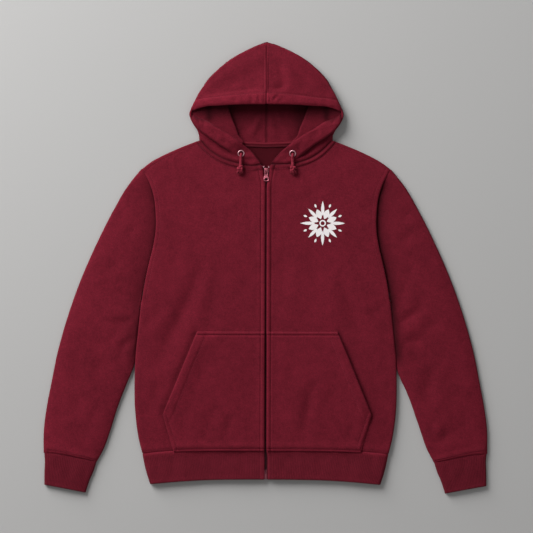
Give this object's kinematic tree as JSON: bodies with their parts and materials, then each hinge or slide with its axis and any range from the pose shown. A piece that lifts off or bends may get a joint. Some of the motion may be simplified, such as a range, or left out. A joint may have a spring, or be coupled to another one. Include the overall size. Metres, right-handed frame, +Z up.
{
  "type": "zip up hoodie",
  "caption": "Laid-flat zip-up hooded sweatshirt with a drawstring, front pockets, ribbed cuffs and hem band, and a zip whose pull tab turns.",
  "frame": {"origin": "on the surface the garment lies on, under the middle of the back panel, on the centre line", "axes": "+X towards the wearer's left side, +Y from the hem up to the top of the hood, +Z up from the surface, out of the front panels"},
  "size_m": [0.888, 0.9009, 0.0268],
  "materials": {
    "burgundy_fleece": "soft brushed sweatshirt fleece",
    "burgundy_rib": "knitted rib",
    "burgundy_tape": "flat woven tape",
    "zip_chain_metal": "dark tinted zip teeth",
    "tinted_metal": "pinkish tinted metal, satin",
    "burgundy_cord": "round braided cord"
  },
  "bodies": {
    "garment": {"back": "burgundy_fleece", "front_left": "burgundy_fleece", "front_right": "burgundy_fleece", "sleeve_left": "burgundy_fleece", "sleeve_right": "burgundy_fleece", "cuff_left": "burgundy_rib", "cuff_right": "burgundy_rib", "hem_band": "burgundy_rib", "hood_left": "burgundy_fleece", "hood_right": "burgundy_fleece", "neck_tape": "burgundy_tape", "pocket_left": "burgundy_fleece", "pocket_right": "burgundy_fleece", "zip_tape_left": "burgundy_tape", "zip_tape_right": "burgundy_tape", "zip_chain": "zip_chain_metal", "zip_box": "tinted_metal", "zip_slider": "tinted_metal", "zip_stop_left": "tinted_metal", "zip_stop_right": "tinted_metal", "eyelet_left": "tinted_metal", "eyelet_right": "tinted_metal", "cord_left": "burgundy_cord", "cord_right": "burgundy_cord", "knot_left": "burgundy_cord", "knot_right": "burgundy_cord", "cord_end_left": "burgundy_cord", "cord_end_right": "burgundy_cord"},
    "pull_tab": {"zip_pull": "tinted_metal"}
  },
  "joints": [
    {"name": "pull_tab_turn", "type": "hinge", "parent": "garment", "child": "pull_tab", "pos_m": [0, 0.195, 0.0093], "axis": [-1, 0, 0], "range_deg": [0, 175]}
  ]
}
